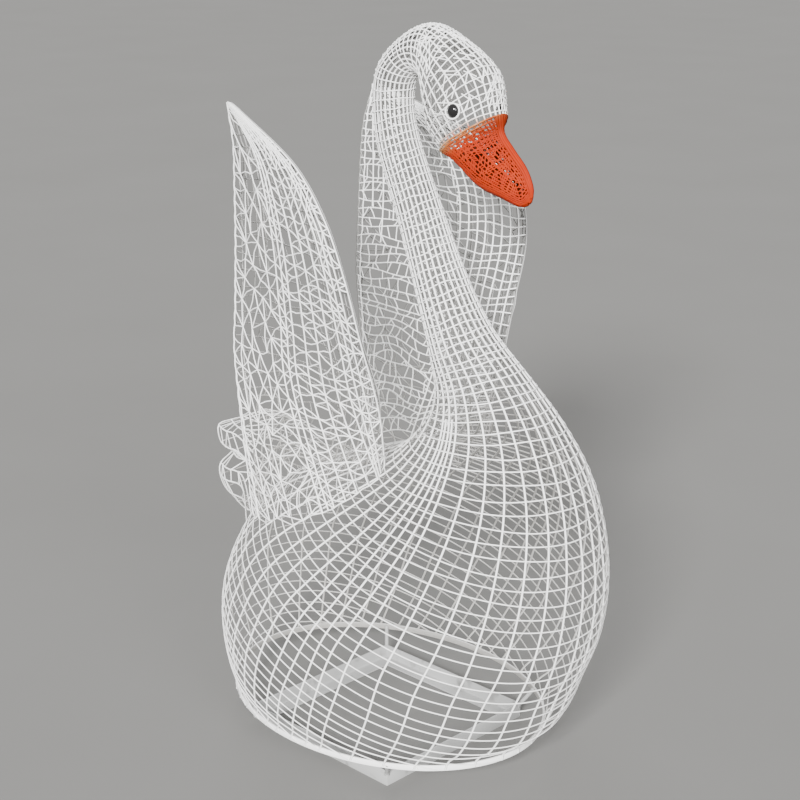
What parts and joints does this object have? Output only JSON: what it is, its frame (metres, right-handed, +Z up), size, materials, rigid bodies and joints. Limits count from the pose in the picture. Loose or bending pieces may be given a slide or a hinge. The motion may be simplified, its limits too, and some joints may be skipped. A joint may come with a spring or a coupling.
{
  "type": "wire lattice swan sculpture",
  "caption": "Standing garden swan of white-painted welded wire lattice with raised wings, orange beak and black eyes, on a flat ring and a square angle base.",
  "frame": {"origin": "on the ground, under the middle of the whole swan's box", "axes": "+Z up; +X the way the swan faces; +Y its left side"},
  "size_m": [0.91, 0.6192, 1.3788],
  "materials": {
    "white_wire": "semi-gloss",
    "orange_paint": "semi-gloss",
    "black_gloss": "gloss",
    "base_paint": "satin"
  },
  "bodies": {
    "root": {"body": "white_wire", "right_wing": "white_wire", "left_wing": "white_wire", "tail": "white_wire", "beak": "orange_paint", "right_eye": "black_gloss", "left_eye": "black_gloss", "base_ring": "base_paint", "base_frame": "base_paint"}
  },
  "joints": []
}
